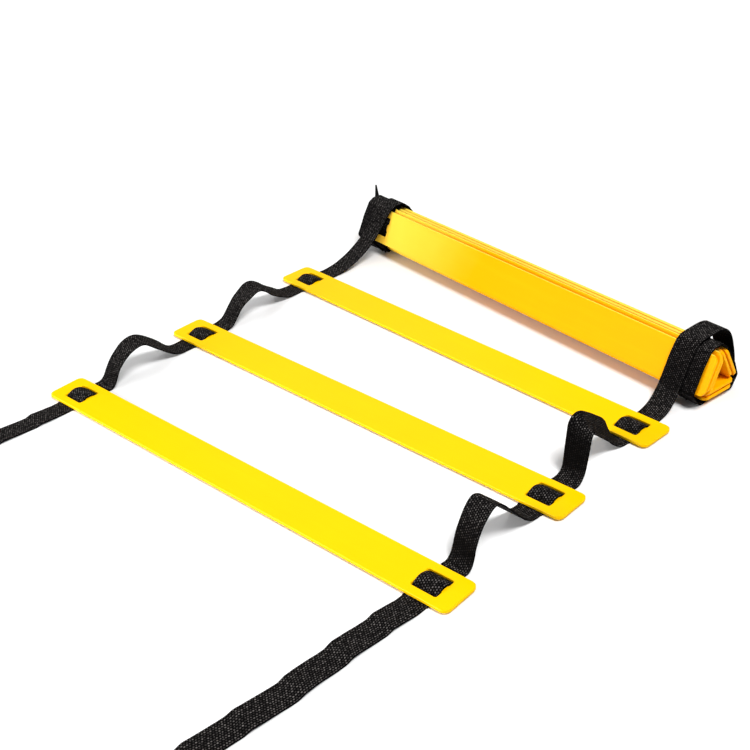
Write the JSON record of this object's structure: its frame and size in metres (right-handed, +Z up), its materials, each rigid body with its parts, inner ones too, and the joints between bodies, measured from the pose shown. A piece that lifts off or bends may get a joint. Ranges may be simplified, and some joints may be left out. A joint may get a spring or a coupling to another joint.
{
  "type": "agility ladder",
  "caption": "Roll-up speed ladder: flat slats with slotted ends threaded on two webbing side straps, partly laid out and partly rolled into a three-sided bundle.",
  "frame": {"origin": "bottom centre of the ladder's box without the two free tails, on the floor", "axes": "+X along the rungs to the right, +Y from the first laid rung to the rolled bundle, +Z up"},
  "size_m": [0.4484, 0.7146, 0.0524],
  "materials": {
    "rung_yellow": "satin",
    "strap_black": "woven"
  },
  "bodies": {
    "bundle": {"rung_4": "rung_yellow", "rung_5": "rung_yellow", "rung_6": "rung_yellow", "rung_7": "rung_yellow", "rung_8": "rung_yellow", "rung_9": "rung_yellow", "rung_10": "rung_yellow", "strap_roll_left": "strap_black", "strap_roll_right": "strap_black", "strap_winding_left": "strap_black", "strap_winding_right": "strap_black", "strap_end_left": "strap_black", "strap_end_right": "strap_black", "strap_ramp_left": "strap_black", "strap_ramp_right": "strap_black"},
    "laid_3": {"rung_3": "rung_yellow", "strap_pass_left_3": "strap_black", "strap_pass_right_3": "strap_black"},
    "crest_23": {"strap_hump_left_23": "strap_black", "strap_hump_right_23": "strap_black"},
    "laid_2": {"rung_2": "rung_yellow", "strap_pass_left_2": "strap_black", "strap_pass_right_2": "strap_black"},
    "crest_12": {"strap_hump_left_12": "strap_black", "strap_hump_right_12": "strap_black"},
    "laid_1": {"rung_1": "rung_yellow", "strap_pass_left_1": "strap_black", "strap_pass_right_1": "strap_black", "strap_tail_left": "strap_black", "strap_tail_right": "strap_black"}
  },
  "joints": [
    {"name": "rung_3_slide", "type": "slide", "parent": "bundle", "child": "laid_3", "axis": [-0.1109, -0.9938, 0], "range_m": [-0.02, 0.004], "deforming": ["strap_ramp_left", "strap_ramp_right"]},
    {"name": "crest_23_rise", "type": "slide", "parent": "laid_3", "child": "crest_23", "axis": [-0.018, -0.7431, -0.669], "range_m": [-0.0404, 0.0135], "deforming": ["strap_hump_left_23", "strap_hump_right_23"]},
    {"name": "rung_2_slide", "type": "slide", "parent": "crest_23", "child": "laid_2", "axis": [-0.018, -0.7431, 0.669], "range_m": [-0.0404, 0.0135]},
    {"name": "crest_12_rise", "type": "slide", "parent": "laid_2", "child": "crest_12", "axis": [-0.0193, -0.743, -0.669], "range_m": [-0.0404, 0.0135], "deforming": ["strap_hump_left_12", "strap_hump_right_12"]},
    {"name": "rung_1_slide", "type": "slide", "parent": "crest_12", "child": "laid_1", "axis": [-0.0193, -0.743, 0.669], "range_m": [-0.0404, 0.0135]}
  ],
  "couplings": [
    {"joint": "crest_23_rise", "follows": "rung_2_slide", "ratio": 1},
    {"joint": "crest_12_rise", "follows": "rung_1_slide", "ratio": 1}
  ]
}
